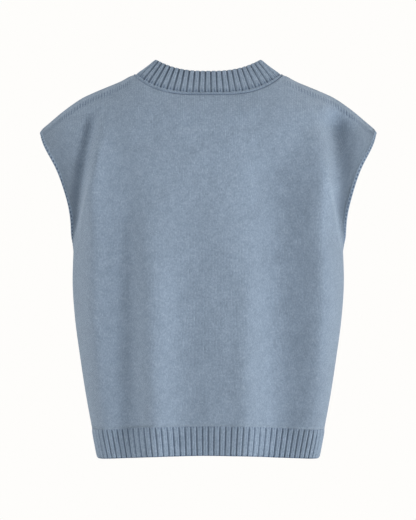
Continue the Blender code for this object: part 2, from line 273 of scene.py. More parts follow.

# A row of puckers runs below each shoulder, under a band of painted highlight: how far below the edge, in
# height. Each pucker's painted shade is darkest at its core and fades to its edge, in shares of the pitch,
# and the yarn's streaks shift it
HIGHLIGHT_TOP = 3.0
HIGHLIGHT_FOOT = 8.0
TICK_TOP = 7.0
TICK_FOOT = 15.0
TICK_FADE = 3.5
TICK_PITCH = 3.5
TICK_CORE = 0.1
TICK_EDGE = 0.28
TICK_DARK = 0.5
TICK_SHIFT = 0.6

# Across half a rib, from the groove to its middle: share of its pitch, and height as a share of the rib's
# height, or below zero of the groove's depth. Two knit wales stand between grooves, with a finer line between
RIB_HALF = (
    (0, -1, -1),
    (0.05, -0.9, -0.95),
    (0.1, -0.3, -0.75),
    (0.15, 0.35, -0.2),
    (0.2, 0.75, 0.35),
    (0.26, 0.95, 0.85),
    (0.35, 1, 1),
    (0.43, 0.9, 0.92),
    (0.5, 0.62, 0.55),
)
RIB_PROFILE = Table("place hem neck", *RIB_HALF, *((1 - place, *rest) for place, *rest in RIB_HALF[:-1]))
RIB_PLACES = (0, 0.05, 0.1, 0.15, 0.2, 0.26, 0.32, 0.38, 0.44)
RIB_PLACES += (0.5, 0.56, 0.62, 0.68, 0.74, 0.8, 0.85, 0.9, 0.95)

# Down the hem rib: how far the crests rise and the grooves sink, in millimetres, how far the edge is
# rounded in, and how much painted shade the section, the grooves and the dots carry; where the section's is
# below zero it is a painted highlight
HEM_RIB_SECTION = Table(
    "down crest groove sink shade dark dots",
    (0, 0.1, 0.3, 0, 0, 0, 0),
    (0.03, 0.3, 1.2, 0, -0.04, 0.8, 0.9),
    (0.07, 0.6, 1.8, 0, 0, 1, 0.1),
    (0.12, 1.1, 1.7, 0, 0, 1.2, 0),
    (0.5, 1.3, 1.6, 0, 0, 1.2, 0),
    (0.93, 1.3, 1.7, 0, 0, 1.3, 0),
    (0.955, 1.1, 1.8, 0.1, 0.05, 1.5, 0),
    (0.975, 0.9, 1.5, 0.4, 0.4, 1.5, 0.6),
    (1, 0.6, 1.2, 0.8, 0.5, 1.5, 0.6),
)

# Round the neckband's section, from its foot up the outer side, over the rim and down the inner side:
# share of the way up, distance out, how far crests rise and grooves sink there, and how much painted shade
# the section, the grooves and the dots at the foot of the ribs carry. The section's shade is a painted shadow
# under the linking strip, and below zero a painted highlight on the strip and the ribs
NECKBAND_SECTION = Table(
    "place up out crest groove shade dark dots",
    (0, 0, -1.4, 0, 0, 0.6, 0, 0),
    (0.02, -0.02, 0.5, 0, 0, 0.3, 0, 0),
    (0.045, 0.03, 1.2, 0, 0, -0.08, 0, 0),
    (0.075, 0.075, 0.9, 0.1, 0, -0.04, 0, 0),
    (0.1, 0.1, 0.1, 0.2, 1.4, 0.15, 0.3, 0.5),
    (0.13, 0.13, 0, 0.7, 2, 0.1, 0.5, 1),
    (0.16, 0.17, 0, 1, 1.8, 0, 0.5, 1),
    (0.2, 0.26, 0, 1.2, 1.7, -0.08, 0.8, 0),
    (0.3, 0.5, 0, 1.3, 1.8, -0.1, 1, 0),
    (0.46, 0.9, 0, 1.3, 2.4, -0.08, 1.5, 0),
    (0.5, 0.97, -0.2, 1, 2.4, -0.05, 1.7, 0),
    (0.53, 1, -0.9, 0.6, 1.8, 0, 1.7, 0),
    (0.56, 1.012, -1.8, 0.2, 0.3, 0, 0.8, 0),
    (0.59, 0.995, -2.9, 0, 0, 0, 0, 0),
    (0.63, 0.95, -3.6, -0.2, -0.3, 0, 0, 0),
    (0.8, 0.5, -3.6, -0.3, -0.3, 0, 0, 0),
    (0.96, 0.02, -2.9, 0, 0, 0, 0, 0),
    (1, 0, -2.4, 0, 0, 0, 0, 0),
)

# Knitted self edge of the armholes: a flat tube, sunk a little into the panels, with a proud chain beside
# them and a pit outside it at each stitch. Angles go round its section from off the panels to outwards
EDGE_WIDTH = 5.2
EDGE_WALL = 3.4
EDGE_SUNK = 2.4
EDGE_STITCH = 6.2
EDGE_PIT = 1.2
EDGE_PIT_SHARPNESS = 1.2
EDGE_PIT_ANGLE = math.radians(72)
EDGE_PIT_SPREAD = math.radians(34)
EDGE_CHAIN = 0.5
EDGE_CHAIN_ANGLE = math.radians(130)
EDGE_CHAIN_SPREAD = math.radians(18)
EDGE_CHAIN_SWING = math.radians(10)

# Linking stitches at the neckband's foot: their pitch and size, how far up the band and how far out of it
# they lie, and how dark the painted shade at their ends is
LINK_STITCH = 5.5
LINK_LENGTH = 5.2
LINK_THICKNESS = 1.9
LINK_TILT = 0.3
LINK_UP = 0.035
LINK_PROUD = 1.1
LINK_END_DARK = 0.35
BEAD_ROUND = 8
BEAD_RINGS = 5

# Share of the neckband's height over which it turns from the panels' direction to its own
BAND_TURN = 0.12

# Melange yarn: how finely its streaks and patches lie across and up, in 1/mm, and how much they and each
# single stitch change its tone, and how much a painted highlight lightens the stitch's round top; then the
# places of its three colours on that tone
STREAK_SCALE = (0.6, 0.26, 1.0)
PATCH_SCALE = (0.085, 0.07, 1.0)
STREAK_SHARE = 0.5
PATCH_SHARE = 0.2
SINGLE_SHARE = 0.2
TOP_SHARE = 0.2
TONE_PLACES = (0.12, 0.45, 0.8)

# Fuzz of the nap over the stitches: how fine it is, in 1/mm, and its height as a share of a stitch's
FUZZ_SCALE = 1.3
FUZZ_HEIGHT = 0.35


def facing(panel):
    """Direction of a panel along Y."""
    return 1 if panel == "back" else -1


def turn(distance, reach):
    """Rise from 0 at an edge to 1 at its reach, round like a quarter of an oval."""
    t = np.clip(distance / reach, 0, 1)
    return np.sqrt(1 - (1 - t) ** TURN_POWER)


def ease(t):
    """Smooth step from 0 to 1."""
    t = np.clip(t, 0, 1)
    return t * t * (3 - 2 * t)


def between(values, first, last, fade):
    """1 between two values, fading to 0 beyond them."""
    return ease((values - first) / fade + 0.5) * ease((last - values) / fade + 0.5)


def half_width(z):
    """Half the width of the vest at a height, as far out as its side or the armhole's edge."""
    return SIDE_LINE.at("half_width", np.minimum(z, CAP_TIP))


def neck_seam_height(panel, across):
    """Height of the neck seam at a distance across from the middle."""
    share = np.minimum(np.abs(across) / NECK_HALF_WIDTH, 1)
    middle = NECK[panel]["seam_height"]
    return middle + (NECK_SIDE_HEIGHT - middle) * share ** NECK[panel]["seam_drop"]


def neck_rim(panel, angle):
    """Points of the neckband's top rim, by their angles from the middle of the panel."""
    neck = NECK[panel]
    rise = (RIM_SIDE_HEIGHT - neck["rim_height"]) * np.abs(np.sin(angle)) ** neck["rim_drop"]
    depth = facing(panel) * neck["rim_depth"] * np.cos(angle)
    return np.stack([RIM_HALF_WIDTH * np.sin(angle), depth, neck["rim_height"] + rise], axis=-1)


def edge_depth(panel, across, z):
    """Distance of the armhole's edge from the plane of the side seams, on the side that is asked for."""
    edge = np.where(across > 0, WING.at(panel + "_left", z), WING.at(panel + "_right", z))
    return edge * turn(z - UNDERARM, UNDERARM_REACH)


def wrap_depth(panel, across, z):
    """Depth where the panel wraps round the side of the body, as on a rounded box."""
    share = np.minimum(np.abs(across) / half_width(z), 1)
    wrap = BODY_DEPTH.at(panel, z) * (1 - share**SIDE_ROUNDNESS) ** (1 / SIDE_ROUNDNESS)
    return (wrap**EDGE_BLEND + edge_depth(panel, across, z) ** EDGE_BLEND) ** (1 / EDGE_BLEND)


def wing_depth(panel, across, z):
    """Depth of the panel over the back or chest, and of its wing beyond the ridge at the armhole."""
    ridge_across = np.where(across > 0, WING.at("left_ridge", z), WING.at("right_ridge", z))
    ridge = WING.at(panel + "_ridge", z)
    middle = BODY_DEPTH.at(panel, z)
    inside = middle - (middle - ridge) * np.minimum(np.abs(across) / ridge_across, 1) ** CHEST_CURVE
    edge = edge_depth(panel, across, z)
    to_edge = (half_width(z) - np.abs(across)) / (half_width(z) - ridge_across)
    outside = edge + (ridge - edge) * np.clip(to_edge, 0, 1) ** WING_CURVE
    return np.where(np.abs(across) <= ridge_across, inside, outside)


def fold_shapes(panel, across, z):
    """Each fold of a panel: its row, and how near the cloth is to its full height."""
    share = np.minimum(np.abs(across) / half_width(z), 1)
    for fold in FOLDS:
        row = dict(zip(FOLD_COLUMNS.split(), fold))
        if row["panel"] != panel:
            continue
        along = (row["top"] - z) / (row["top"] - row["foot"])
        middle = row["top_across"] + (row["foot_across"] - row["top_across"]) * along
        fade = ease(along / row["growth"]) * ease((1 - along) / FOLD_FADE)
        calm = 1 - share ** (CREASE_SIDE_CALM if row["width"] < CREASE_WIDTH else FOLD_SIDE_CALM)
        yield row, calm * fade * np.exp(-(((across - middle) / row["width"]) ** 2))


def fold_height(panel, across, z):
    """How far the folds lift the cloth."""
    return sum(row["height"] * shape for row, shape in fold_shapes(panel, across, z))


def painted_crease_highlight(panel, across, z):
    """Where a painted highlight runs along the cloth's crisp creases."""
    return sum(shape**2 for row, shape in fold_shapes(panel, across, z) if row["width"] < CREASE_WIDTH)


def uneven_height(panel, across, z):
    """Low waves all over the cloth, calm towards its sides."""
    draw = np.random.default_rng(UNEVEN_SEED + facing(panel))
    lift = np.zeros_like(across)
    for height, length in UNEVEN_WAVES:
        for _ in range(WAVES_OF_EACH):
            angle, phase = draw.uniform(0, 2 * math.pi, 2)
            along = across * math.cos(angle) + z * math.sin(angle)
            lift += height * np.sin(2 * math.pi * along / length + phase)
    return lift * (1 - np.minimum(np.abs(across) / half_width(z), 1) ** FOLD_SIDE_CALM)


def panel_points(panel, share, z, folded=True):
    """Points on the outer face of a panel, by their shares of the half width and their heights."""
    across = share * half_width(z)
    wrap = ease((WING_BLEND_TOP - z) / (WING_BLEND_TOP - UNDERARM))
    depth = wrap * wrap_depth(panel, across, z) + (1 - wrap) * wing_depth(panel, across, z)
    if folded:
        depth += fold_height(panel, across, z) + uneven_height(panel, across, z)
    depth *= turn(SHOULDER_LINE.at("height", np.abs(across)) - z, TURN_REACH)
    return np.stack([across, facing(panel) * np.maximum(depth, SEAM_GAP / 2), z], axis=-1)


def column_shares():
    """Shares of the half width at which the columns of a panel stand, from its right to its left."""
    neck_share = NECK_HALF_WIDTH / CAP_HALF_WIDTH
    steps = np.arange(NECK_COLUMNS + 1) / NECK_COLUMNS
    inside = neck_share * np.sin(math.pi / 2 * steps)
    first = math.asin(neck_share ** (SIDE_ROUNDNESS / 2))
    angles = first + (math.pi / 2 - first) * np.arange(1, SIDE_COLUMNS + 1) / SIDE_COLUMNS
    half = np.concatenate([inside, np.sin(angles) ** (2 / SIDE_ROUNDNESS)])
    return np.concatenate([-half[:0:-1], half])


def hem_rise(panel, share):
    """How much higher the hem runs in the middle of a panel and where its folds stand out."""
    folds = fold_height(panel, share * half_width(HEM_BOTTOM), np.full_like(share, HEM_BOTTOM))
    return HEM_ARCH * (1 - share * share) + HEM_LIFT * folds


def hem_line(panel, share):
    """Height of the seam line between a panel and its hem rib."""
    return HEM_TOP + hem_rise(panel, share)


def row_heights(panel, share):
    """Heights of the points of each column, from the hem rib up to the neck or the shoulder."""
    across = np.abs(share) * CAP_HALF_WIDTH
    shoulder = SHOULDER_LINE.at("height", across)
    top = np.where(across < NECK_HALF_WIDTH, neck_seam_height(panel, across), shoulder)[:, None]
    low = hem_line(panel, share)[:, None] + SEAM_GAP / 2
    low_steps = np.sin(math.pi / 2 * np.arange(LOW_ROWS) / LOW_ROWS)
    high_steps = (1 - np.cos(math.pi * np.arange(HIGH_ROWS + 1) / HIGH_ROWS)) / 2
    below = low + (UNDERARM - low) * low_steps
    above = UNDERARM + (top - UNDERARM) * high_steps
    return np.concatenate([below, above], axis=1)


def unit(vectors):
    """The same directions with a length of 1."""
    return vectors / np.linalg.norm(vectors, axis=-1, keepdims=True)


def grid_normals(panel, grid):
    """Direction out of the cloth at each point of a panel's grid, level with the seams that it meets."""
    normals = np.cross(np.gradient(grid, axis=1), np.gradient(grid, axis=0)) * facing(panel)
    normals[[0, -1], : LOW_ROWS + 1, 1] = 0
    shoulder = np.abs(grid[:, -1, 0]) >= NECK_HALF_WIDTH - SEAM_GAP
    normals[shoulder, -1, 1] = 0
    normals[:, 0, 2] = 0
    return unit(normals)


def lengths_along(grid, axis):
    """Running length of the grid's lines along one axis, from 0."""
    steps = np.linalg.norm(np.diff(grid, axis=axis), axis=-1)
    start = np.zeros_like(np.take(steps, [0], axis=axis))
    return np.cumsum(np.concatenate([start, steps], axis=axis), axis=axis)


class PanelForm:
    """The outer face of a front or back panel as a grid: its points, normals, and running lengths."""

    def __init__(self, panel):
        share = column_shares()
        heights = row_heights(panel, share)
        self.points = panel_points(panel, share[:, None], heights)
        self.normals = grid_normals(panel, self.points)
        up = lengths_along(self.points, 1)
        down = up[:, -1:] - up
        at_shoulder = ease((np.abs(self.points[:, -1:, 0]) - NECK_HALF_WIDTH) / WELT_WIDTH)
        welt = WELT_HEIGHT * ease((WELT_WIDTH - down) / WELT_EDGE) * at_shoulder
        dip = NECK_DIP * ease((NECK_DIP_WIDTH - down) / NECK_DIP_WIDTH) * (1 - at_shoulder)
        self.points = self.points + self.normals * (welt - dip)[..., None]
        below = SHOULDER_LINE.at("height", np.abs(self.points[..., 0])) - self.points[..., 2]
        self.ticks = at_shoulder * between(below, TICK_TOP, TICK_FOOT, TICK_FADE)
        # Painted shadow on the panel under the neck's linking strip
        at_neck = (1 - at_shoulder) * ease((NECK_DIP_WIDTH - down) / NECK_DIP_WIDTH)
        # Painted highlight on a band below each shoulder
        painted_light = at_shoulder * between(below, HIGHLIGHT_TOP, HIGHLIGHT_FOOT, TICK_FADE)
        # Painted highlight along the crisp creases
        creased = painted_crease_highlight(panel, self.points[..., 0], self.points[..., 2])
        self.dark = NECK_SEAM_DARK * at_neck - SHOULDER_HIGHLIGHT * painted_light - CREASE_HIGHLIGHT * creased
        across = lengths_along(self.points, 0)[:, LOW_ROWS * 2 // 3]
        middle = across[len(across) // 2]
        self.wale_place = np.repeat((across - middle)[:, None], up.shape[1], axis=1)
        self.course_place = up


class Path:
    """A line of straight runs through points, read by its share of its length, or of its ruler's."""

    def __init__(self, points, closed=False, ruler=None):
        self.closed = closed
        self.points = np.concatenate([points, points[:1]]) if closed else np.asarray(points)
        self.reach = lengths_along(self.points if ruler is None else ruler, 0)
        self.length = self.reach[-1]

    def at(self, shares, values=None):
        """The points there, or the same mixture of values given one for each point."""
        if values is None:
            values = self.points
        elif self.closed:
            values = np.concatenate([values, values[:1]])
        target = (shares % 1 if self.closed else np.clip(shares, 0, 1)) * self.length
        return np.stack([np.interp(target, self.reach, column) for column in values.T], axis=-1)


@cache
def forms():
    """The forms of both panels, worked out once."""
    return {panel: PanelForm(panel) for panel in PANELS}


def neckline(name):
    """Values at the points round the neck seam, from the middle of the back over the left shoulder to the
    front and back over the right shoulder. At a shoulder, front and back give their mean."""
    back, front = (getattr(forms()[panel], name)[:, -1] for panel in PANELS)
    mean = (back + front) / 2
    middle = len(back) // 2
    left = middle + NECK_COLUMNS
    right = middle - NECK_COLUMNS
    first_runs = [back[middle:left], mean[left : left + 1], front[left - 1 : right : -1]]
    last_runs = [mean[right : right + 1], back[right + 1 : middle]]
    return np.concatenate(first_runs + last_runs)


def armhole_line(side, name):
    """Values at the points round an armhole, from the underarm up the back and down the front."""
    column = -1 if side > 0 else 0
    back, front = (getattr(forms()[panel], name)[column, LOW_ROWS:] for panel in PANELS)
    mean = (back + front) / 2
    return np.concatenate([mean[:1], back[1:-1], mean[-1:], front[-2:0:-1]])


def edge_directions(points, normals, sign):
    """Directions off the edge of the cloth along its surface, square to a closed edge and its normals."""
    along = np.roll(points, -1, axis=0) - np.roll(points, 1, axis=0)
    return unit(np.cross(along, normals)) * sign


def linear(code):
    """sRGB hex code as linear red, green and blue."""
    parts = [int(code[i : i + 2], 16) / 255 for i in (1, 3, 5)]
    return tuple(p / 12.92 if p <= 0.04045 else ((p + 0.055) / 1.055) ** 2.4 for p in parts)


def add(tree, kind, settings, inputs):
    """Add a node with its settings, and fill or link its inputs. A node stands for its first output."""
    node = tree.nodes.new(kind)
    for name, value in settings.items():
        setattr(node, name, value)
    for socket, value in inputs.items():
        if isinstance(value, bpy.types.Node):
            value = value.outputs[0]
        if isinstance(value, bpy.types.NodeSocket):
            tree.links.new(value, node.inputs[socket])
        else:
            node.inputs[socket].default_value = value
    return node


def maths(tree, operation, *values):
    """Add a maths node that works on its values."""
    return add(tree, "ShaderNodeMath", {"operation": operation}, dict(enumerate(values)))


def vector_maths(tree, operation, inputs):
    """Add a maths node that works on vectors."""
    return add(tree, "ShaderNodeVectorMath", {"operation": operation}, inputs)


def noise(tree, place, detail, scale=1.0):
    """Add cloudy noise over a flat place."""
    inputs = {"Vector": place, "Scale": scale, "Detail": detail}
    return add(tree, "ShaderNodeTexNoise", {"noise_dimensions": "2D"}, inputs)


def empty_tree(thing):
    """The node tree of a material or a world, with nothing in it."""
    thing.use_nodes = True
    thing.node_tree.nodes.clear()
    return thing.node_tree


def new_object(name, data):
    """A new object in the scene."""
    thing = bpy.data.objects.new(name, data)
    bpy.context.scene.collection.objects.link(thing)
    return thing


def deselect():
    """Leave nothing selected."""
    for thing in bpy.context.selected_objects:
        thing.select_set(False)


def activate(thing):
    """Select one object alone, for Blender's tools."""
    deselect()
    thing.select_set(True)
    bpy.context.view_layer.objects.active = thing


def thicken(piece, wall, inner_finish=0):
    """Give an outer face its wall, in millimetres, and the finish of its inner side."""
    modifier = piece.modifiers.new("wall", "SOLIDIFY")
    modifier.thickness = wall * MM
    modifier.offset = -1
    modifier.material_offset = inner_finish
    activate(piece)
    bpy.ops.object.modifier_apply(modifier=modifier.name)


def face_outward(piece):
    """Turn all faces of a closed piece outward."""
    activate(piece)
    bpy.ops.object.mode_set(mode="EDIT")
    bpy.ops.mesh.select_all(action="SELECT")
    bpy.ops.mesh.normals_make_consistent(inside=False)
    bpy.ops.object.mode_set(mode="OBJECT")


def new_piece(name, vertices, faces, *finishes):
    """A smooth mesh object from points in millimetres, with knit materials by their names."""
    mesh = bpy.data.meshes.new(name)
    mesh.from_pydata((vertices.reshape(-1, 3) * MM).tolist(), [], faces)
    mesh.shade_smooth()
    for finish in finishes:
        mesh.materials.append(material(finish))
    return new_object(name, mesh)


def grid_faces(columns, rows, closed, flip=False):
    """Faces between neighbouring points of a grid, numbered column by column, open or closed both ways."""
    i = np.arange(columns if closed else columns - 1)[:, None]
    j = np.arange(rows if closed else rows - 1)[None, :]
    right = (i + 1) % columns
    up = (j + 1) % rows
    corners = [i * rows + j, right * rows + j, right * rows + up, i * rows + up]
    if flip:
        corners.reverse()
    size = (len(i), j.shape[1])
    return np.stack([np.broadcast_to(corner, size) for corner in corners], axis=-1).reshape(-1, 4).tolist()


def lay_knit(piece, wale_places, course_places):
    """Give each corner its place in the knit, in millimetres across and up, as the UV map "knit"."""
    layer = piece.data.uv_layers.new(name="knit")
    corners = np.empty(len(piece.data.loops), dtype=np.int32)
    piece.data.loops.foreach_get("vertex_index", corners)
    places = np.stack([wale_places.ravel()[corners], course_places.ravel()[corners]], axis=-1)
    layer.data.foreach_set("uv", places.ravel().astype(np.float32))


def lay_values(piece, name, values):
    """Give each point a number, as an attribute."""
    attribute = piece.data.attributes.new(name, "FLOAT", "POINT")
    attribute.data.foreach_set("value", values.ravel().astype(np.float32))


def finish_piece(piece, slot, *nodes):
    """Let a piece ride with the vest and stand for its solids, which it hides; its slot is not used."""
    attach(piece, "root")
    if nodes:
        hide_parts(*nodes)
    return piece


def knit_material(name, look, lean=1.1, hollow=0.6, depth=1.0):
    """Knitted melange yarn, spun from dyed wool fibres of three blues: stitches, streaks and soft nap. The
    strands lean by so much, are so hollow between them, and stand so deep beside the plain knit's."""
    knit = bpy.data.materials.new(name)
    tree = empty_tree(knit)
    place = add(tree, "ShaderNodeUVMap", {"uv_map": "knit"}, {})
    parts = add(tree, "ShaderNodeSeparateXYZ", {}, {0: place})
    wale = maths(tree, "DIVIDE", parts.outputs["X"], look.wale)
    course = maths(tree, "DIVIDE", parts.outputs["Y"], look.course)

    # Each stitch is a V: its two strands rise from the middle of the wale to its sides
    middle = maths(tree, "PINGPONG", wale, 0.5)
    rise = maths(tree, "MULTIPLY", middle, lean)
    strand = maths(tree, "ADD", course, rise)
    turned = maths(tree, "MULTIPLY", strand, math.pi)
    wave = maths(tree, "SINE", turned)
    round_strand = maths(tree, "ABSOLUTE", wave)
    side = maths(tree, "MULTIPLY", middle, 2.0)
    side_round = maths(tree, "POWER", side, hollow)
    stitch = maths(tree, "MULTIPLY", round_strand, side_round)

    # Melange: short streaks along the wales, soft patches, and each stitch a little lighter or darker
    stretch = add(tree, "ShaderNodeMapping", {}, {0: place, "Scale": STREAK_SCALE})
    streaks = noise(tree, stretch, detail=3.0)
    spread = add(tree, "ShaderNodeMapping", {}, {0: place, "Scale": PATCH_SCALE})
    patches = noise(tree, spread, detail=2.0)
    wale_count = maths(tree, "FLOOR", wale)
    course_count = maths(tree, "FLOOR", strand)
    count = add(tree, "ShaderNodeCombineXYZ", {}, {0: wale_count, 1: course_count})
    single = add(tree, "ShaderNodeTexWhiteNoise", {"noise_dimensions": "2D"}, {0: count})
    weighted = maths(tree, "MULTIPLY_ADD", patches, PATCH_SHARE, -PATCH_SHARE / 2)
    blend = maths(tree, "MULTIPLY_ADD", streaks, STREAK_SHARE, weighted)
    tone = maths(tree, "MULTIPLY_ADD", single, SINGLE_SHARE, blend)
    # Painted light: each stitch's round top is lighter than the hollows beside it
    painted_light = maths(tree, "MULTIPLY_ADD", stitch, TOP_SHARE * depth, tone)
    ramp = add(tree, "ShaderNodeValToRGB", {}, {0: painted_light})
    stops = ramp.color_ramp.elements
    stops.new(0.5)
    for stop, position, colour in zip(stops, TONE_PLACES, (look.dark, look.middle, look.light)):
        stop.position = position
        stop.color = (*colour, 1.0)

    # Painted shade of the puckers below the shoulder seam: short dark lines, a little uneven
    ticks = add(tree, "ShaderNodeAttribute", {"attribute_name": "ticks"}, {})
    tick_place = maths(tree, "DIVIDE", parts.outputs["X"], TICK_PITCH)
    shifted = maths(tree, "MULTIPLY_ADD", streaks, TICK_SHIFT, tick_place)
    beside = maths(tree, "PINGPONG", shifted, 0.5)
    pucker = add(tree, "ShaderNodeMapRange", {}, {0: beside, 1: TICK_CORE, 2: TICK_EDGE, 3: 1.0, 4: 0.0})
    tick = maths(tree, "MULTIPLY", pucker, ticks.outputs["Fac"])

    # Painted shade takes some of the colour away, and painted highlights add some
    dark = add(tree, "ShaderNodeAttribute", {"attribute_name": "dark"}, {})
    both = maths(tree, "MULTIPLY_ADD", tick, TICK_DARK, dark.outputs["Fac"])
    taken = vector_maths(tree, "SCALE", {0: HOLLOW_TINT, "Scale": both})
    left = vector_maths(tree, "SUBTRACT", {0: (1, 1, 1), 1: taken})
    colour = vector_maths(tree, "MULTIPLY", {0: ramp, 1: left})

    fuzz = noise(tree, place, detail=3.0, scale=FUZZ_SCALE)
    raised = maths(tree, "MULTIPLY_ADD", fuzz, FUZZ_HEIGHT, stitch)
    relief = look.stitch_depth * depth * MM
    bump = add(tree, "ShaderNodeBump", {}, {"Strength": 1.0, "Distance": relief, "Height": raised})
    wool = {
        "Base Color": colour,
        "Roughness": 0.92,
        "Specular IOR Level": 0.25,
        "Sheen Weight": look.nap,
        "Sheen Roughness": 0.45,
        "Sheen Tint": (0.74, 0.86, 1.0, 1.0),
        "Normal": bump,
    }
    shader = add(tree, "ShaderNodeBsdfPrincipled", {}, wool)
    add(tree, "ShaderNodeOutputMaterial", {}, {0: shader})
    return knit


def material(name):
    """A knit material by its name, made on first use."""
    found = bpy.data.materials.get(name)
    if found:
        return found
    kinds = {
        "melange_stockinette": {},
        "melange_reverse_stockinette": {"lean": 0.4, "hollow": 0.15},
        "melange_rib": {"depth": 0.8},
        "melange_linking": {"depth": 0.5},
    }
    return knit_material(name, bpy.context.scene.sweater_vest, **kinds[name])


def make_panel(panel, look):
    """A front or back panel: plain knit outside, and its purl side inside."""
    form = forms()[panel]
    columns, rows = form.points.shape[:2]
    faces = grid_faces(columns, rows, closed=False, flip=panel == "back")
    finishes = ("melange_stockinette", "melange_reverse_stockinette")
    piece = new_piece(panel + "_panel_knit", form.points, faces, *finishes)
    lay_knit(piece, form.wale_place, form.course_place)
    lay_values(piece, "ticks", form.ticks)
    lay_values(piece, "dark", form.dark)
    thicken(piece, look.panel_wall, inner_finish=1)
    return finish_piece(piece, "stockinette_knit", panel + "_panel")


def rib_places(ribs, first_groove, kind):
    """Shares of a ribbed length at which its points lie, and for each its place in its rib and its height."""
    starts = np.arange(ribs)[:, None] + first_groove
    phases = np.broadcast_to(RIB_PLACES, (ribs, len(RIB_PLACES)))
    return ((starts + phases) / ribs).ravel(), phases.ravel(), RIB_PROFILE.at(kind, phases).ravel()


def rib_relief(section, place, profile):
    """Height of a row's points at a place of the section: crests rise and grooves sink by their measures."""
    return np.where(profile > 0, profile * section.at("crest", place), profile * section.at("groove", place))


def rib_dark(section, place, phases, profile):
    """Painted shade at a row's points, a painted highlight below zero: from the section, the grooves, the
    line between wales, and dots on both.
    """
    line = np.exp(-(((phases - 0.5) / DOT_WIDTH) ** 2))
    groove = np.exp(-((np.minimum(phases, 1 - phases) / DOT_WIDTH) ** 2))
    in_groove = np.clip((GROOVE_EDGE - profile) / (GROOVE_EDGE + 1), 0, 1)
    grooves = GROOVE_DARK * section.at("dark", place) * in_groove
    dots = DOT_DARK * section.at("dots", place) * (line + groove)
    return section.at("shade", place) + (grooves + RIB_LINE_DARK * line + dots)


def knit_ribs(name, rows, darks, ribs_across, look, closed, flip=False):
    """A ribbed piece through its rows of points, from their places across in ribs and their painted shade."""
    points = np.stack(rows, axis=1)
    piece = new_piece(name, points, grid_faces(*points.shape[:2], closed, flip), "melange_rib")
    wales = np.repeat((ribs_across * WALES_PER_RIB * look.wale)[:, None], len(rows), axis=1)
    lay_knit(piece, wales, lengths_along(points, 1))
    lay_values(piece, "dark", np.stack(darks, axis=1))
    return piece


def level_normals(panel, line, places):
    """Level directions out of the cloth on a line round the body, square to the side at the seams."""
    ahead = line.at(np.minimum(places + TANGENT_STEP, 1))
    along = ahead - line.at(np.maximum(places - TANGENT_STEP, 0))
    normals = np.stack([-along[:, 1], along[:, 0], np.zeros(len(places))], axis=-1) * facing(panel)
    normals[0] = (-1, 0, 0)
    normals[-1] = (1, 0, 0)
    return unit(normals)


def make_hem_rib(panel, look):
    """The rib below a panel: rows of its section, each along the body's line at its height."""
    share = column_shares()
    places, phases, profile = rib_places(HEM_RIBS_PER_PANEL, 0, "hem")
    places = np.append(places, 1.0)
    phases = np.append(phases, 0.0)
    profile = np.append(profile, profile[0])
    top = hem_line(panel, share) - SEAM_GAP / 2
    foot = HEM_BOTTOM + hem_rise(panel, share)
    rows = []
    darks = []
    for down in HEM_ROWS[::-1]:
        heights = top + (foot - top) * down
        ruler = panel_points(panel, share, heights, folded=False)
        line = Path(panel_points(panel, share, heights), ruler=ruler)
        relief = rib_relief(HEM_RIB_SECTION, down, profile) - HEM_RIB_SECTION.at("sink", down)
        rows.append(line.at(places) + level_normals(panel, line, places) * relief[:, None])
        darks.append(rib_dark(HEM_RIB_SECTION, down, phases, profile))
    ribs_across = places * HEM_RIBS_PER_PANEL
    name = panel + "_hem_rib"
    piece = knit_ribs(name + "_knit", rows, darks, ribs_across, look, closed=False, flip=panel == "back")
    thicken(piece, look.rib_wall)
    return finish_piece(piece, "rib_knit", name)


class BandForm:
    """Where the neckband lies: lines round its foot and its rim, and the directions between them."""

    def __init__(self, places):
        seam = neckline("points")
        out = unit(neckline("normals"))
        off = edge_directions(seam, out, 1)
        foot = Path(seam + off * SEAM_GAP, closed=True)
        quarter = math.pi / 2
        angles = quarter * np.arange(RIM_POINTS) / RIM_POINTS
        left_half = [neck_rim("back", angles), neck_rim("front", quarter - angles)]
        right_half = [neck_rim("front", -angles), neck_rim("back", angles - quarter)]
        rim = Path(np.concatenate(left_half + right_half), closed=True)
        wave = np.sin(4 * math.pi * places) / (4 * math.pi)
        foot_places = places - FOOT_CROWDING * wave
        rim_places = places + RIM_SPREADING * wave
        self.low = foot.at(foot_places)
        self.high = rim.at(rim_places)
        around = rim.at(rim_places + TANGENT_STEP) - rim.at(rim_places - TANGENT_STEP)
        self.lean = -unit(np.cross(around, self.high - self.low))
        self.seam_out = unit(foot.at(foot_places, out))
        self.length = foot.length

    def points(self, up, out, relief):
        """Points at a share of the way up, a distance out and with the ribs' relief."""
        turned = ease(up / BAND_TURN)
        away = unit(self.seam_out * (1 - turned) + self.lean * turned)
        return self.low + (self.high - self.low) * up + away * (out + relief)[:, None]


def make_neckband(look):
    """The doubled neckband: rows of its section round the neck, from its foot over the rim and down."""
    places, phases, profile = rib_places(NECK_RIBS, NECK_FIRST_GROOVE, "neck")
    form = BandForm(places)
    rows = []
    darks = []
    for place in BAND_ROWS:
        up = NECKBAND_SECTION.at("up", place)
        out = NECKBAND_SECTION.at("out", place)
        rows.append(form.points(up, out, rib_relief(NECKBAND_SECTION, place, profile)))
        darks.append(rib_dark(NECKBAND_SECTION, place, phases, profile))
    ribs_across = places * NECK_RIBS - NECK_FIRST_GROOVE
    piece = knit_ribs("neckband_knit", rows, darks, ribs_across, look, closed=True)
    face_outward(piece)
    return finish_piece(piece, "rib_knit", "neckband")


